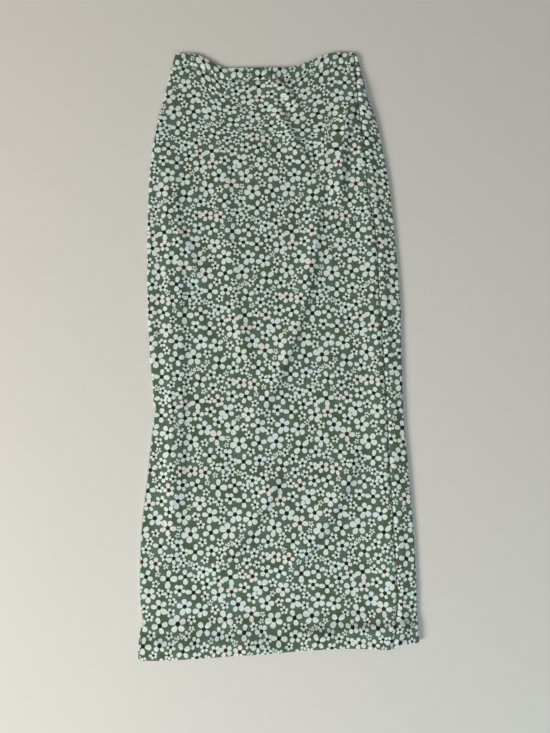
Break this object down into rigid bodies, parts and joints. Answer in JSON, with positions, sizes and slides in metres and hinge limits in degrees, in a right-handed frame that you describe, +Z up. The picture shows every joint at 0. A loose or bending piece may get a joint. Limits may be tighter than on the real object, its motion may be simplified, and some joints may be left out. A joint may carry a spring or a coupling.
{
  "type": "midi skirt",
  "caption": "Narrow daisy-print midi skirt laid out flat, with an elasticated waist, a turned-up hem and a slit at one side.",
  "frame": {"origin": "bottom centre of the skirt's box, on the surface that it lies on", "axes": "+Y from the hem towards the waist, +Z up from the surface through the back to the front, +X across the skirt towards the closed side, with the slit at -X"},
  "size_m": [0.405, 0.9069, 0.0103],
  "materials": {
    "printed_jersey": "matt sage green knit printed with white daisies",
    "waist_casing": "matt printed knit, gathered over elastic",
    "turned_jersey": "matt off-white wrong side of the knit"
  },
  "bodies": {
    "root": {"front_panel": "printed_jersey", "back_panel": "printed_jersey", "waistband_front": "waist_casing", "waistband_back": "waist_casing", "front_hem": "turned_jersey", "back_hem": "turned_jersey", "front_slit_edge": "turned_jersey"}
  },
  "joints": []
}
